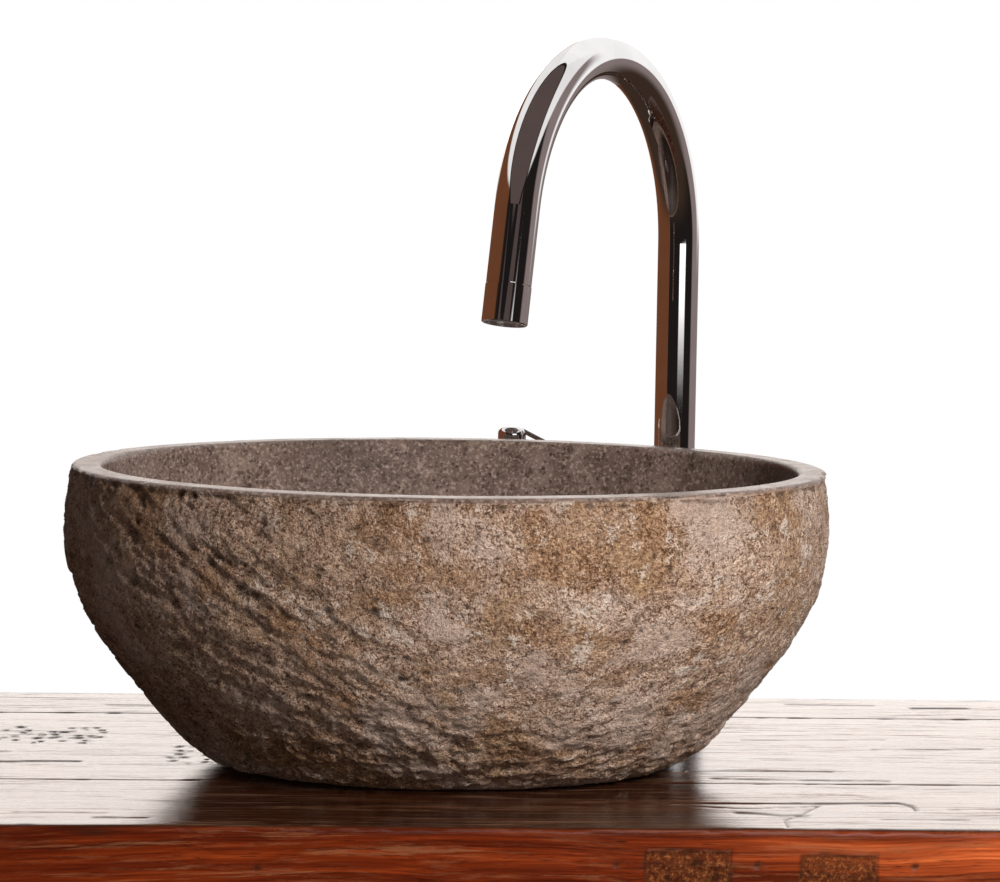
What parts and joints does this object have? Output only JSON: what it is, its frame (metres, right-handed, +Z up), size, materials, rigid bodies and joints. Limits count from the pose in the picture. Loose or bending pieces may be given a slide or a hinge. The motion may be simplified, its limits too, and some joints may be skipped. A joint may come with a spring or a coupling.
{
  "type": "vessel sink on vanity",
  "caption": "Rough stone vessel basin on a wall-hung varnished timber top with a swivelling high-arc tap, side lever, press-plug waste and bottle trap.",
  "frame": {"origin": "centre of the four wall-bolt holes of the two brackets, on the face that lies against the wall", "axes": "+X along the wall to the right for someone facing the sink, +Y into the wall, +Z up"},
  "size_m": [0.8, 0.4245, 0.6327],
  "materials": {
    "timber": "thick glossy varnish over worn red-brown reclaimed timber",
    "stone": "rough chiselled granite-like stone outside, honed inside and on the rim",
    "chrome": "polished chrome plate",
    "zinc_steel": "zinc-plated steel",
    "bracket_paint": "satin black powder coat",
    "rubber": "matt moulded rubber",
    "brass": "plain turned brass",
    "plastic": "moulded white acetal",
    "sealant": "translucent silicone sealant"
  },
  "bodies": {
    "vanity": {"front_board": "timber", "middle_board": "timber", "back_board": "timber", "front_spline": "timber", "back_spline": "timber", "stone_basin": "stone", "basin_seal": "sealant", "waste_body": "chrome", "trap_inlet_nut": "chrome", "trap_body": "chrome", "trap_cup": "chrome", "trap_outlet_nut": "chrome", "outlet_pipe": "chrome", "wall_flange": "chrome", "dip_tube": "chrome", "tap_base_flange": "chrome", "tap_body": "chrome", "swivel_collar": "chrome", "lever_barrel": "chrome", "cartridge_nut": "chrome", "left_bracket": "bracket_paint", "right_bracket": "bracket_paint", "bracket_screws": "zinc_steel", "waste_steel_washer": "zinc_steel", "shank_steel_washer": "zinc_steel", "plug_spring": "zinc_steel", "waste_nut": "brass", "tap_shank": "brass", "shank_nut": "brass", "flange_gasket": "rubber", "waste_rubber_washer": "rubber", "trap_inlet_washer": "rubber", "trap_cup_gasket": "rubber", "trap_outlet_washer": "rubber", "tap_base_gasket": "rubber", "spout_seals": "rubber", "shank_rubber_washer": "rubber", "plug_guide": "plastic", "swivel_bush": "plastic", "mixing_cartridge": "plastic"},
    "spout": {"spout_tube": "chrome", "aerator_sleeve": "chrome", "aerator_insert": "plastic"},
    "temperature_core": {"mixing_core": "plastic"},
    "lever": {"lever_rod": "chrome", "lever_knob": "chrome"},
    "plug": {"plug_cap": "chrome", "plug_seal": "rubber", "plug_stem": "zinc_steel"}
  },
  "joints": [
    {"name": "spout_swivel", "type": "hinge", "parent": "vanity", "child": "spout", "pos_m": [0.1367, -0.043, 0.26], "axis": [0, 0, 1], "range_deg": [-40, 75]},
    {"name": "lever_temperature", "type": "hinge", "parent": "vanity", "child": "temperature_core", "pos_m": [0.10486, -0.03727, 0.26588], "axis": [-0.8846, 0.1592, 0.4384], "range_deg": [-20, 20]},
    {"name": "lever_flow", "type": "hinge", "parent": "temperature_core", "child": "lever", "pos_m": [0.10486, -0.03727, 0.26588], "axis": [0.1771, 0.9842, 0], "range_deg": [0, 18]},
    {"name": "plug_press", "type": "slide", "parent": "vanity", "child": "plug", "axis": [0, 0, 1], "range_m": [-0.0055, 0], "stiffness_N_per_m": 400, "springref_m": 0.008, "deforming": ["plug_spring"]}
  ]
}
